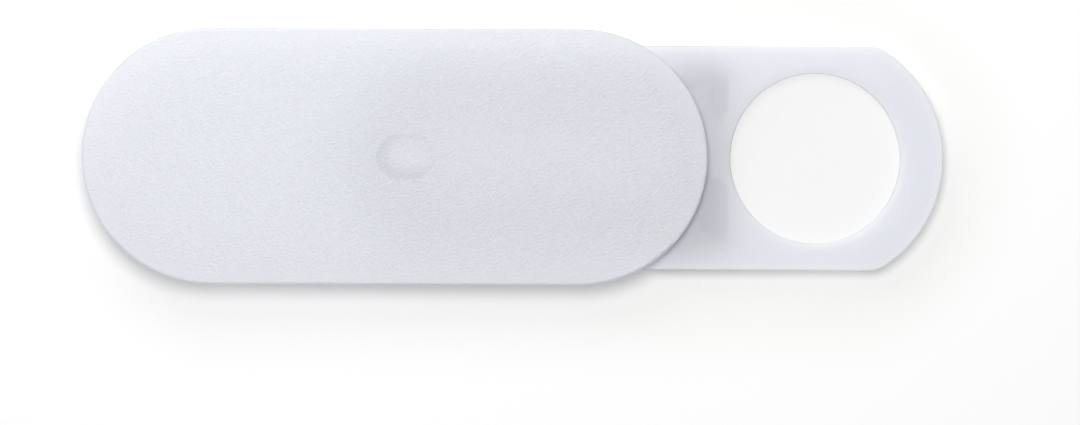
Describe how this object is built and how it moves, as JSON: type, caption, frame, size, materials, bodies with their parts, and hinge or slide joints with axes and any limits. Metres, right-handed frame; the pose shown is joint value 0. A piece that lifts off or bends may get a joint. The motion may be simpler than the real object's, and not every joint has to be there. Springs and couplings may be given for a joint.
{
  "type": "webcam cover slider",
  "caption": "Pill-shaped translucent white shutter that slides along a stick-on base plate to open or close a round lens hole in the base's nose.",
  "frame": {"origin": "on the axis of the lens hole, at the underside of the base plate", "axes": "+X along the slide towards the nose with the lens hole, +Y across the slide, +Z away from the screen that the base is stuck on"},
  "size_m": [0.0441, 0.0132, 0.0017],
  "materials": {
    "frosted_plastic": "moulded, fine spark-eroded grain, slightly translucent bluish white",
    "smooth_plastic": "moulded smooth, satin, slightly translucent bluish white",
    "foam_tape": "matte grey foam tape",
    "liner_paper": "silicone-coated white paper"
  },
  "bodies": {
    "base": {"base_plate": "smooth_plastic", "adhesive_pad": "foam_tape", "release_liner": "liner_paper"},
    "shutter": {"cover": "frosted_plastic"}
  },
  "joints": [
    {"name": "cover_slide", "type": "slide", "parent": "base", "child": "shutter", "axis": [1, 0, 0], "range_m": [0, 0.01206]}
  ]
}
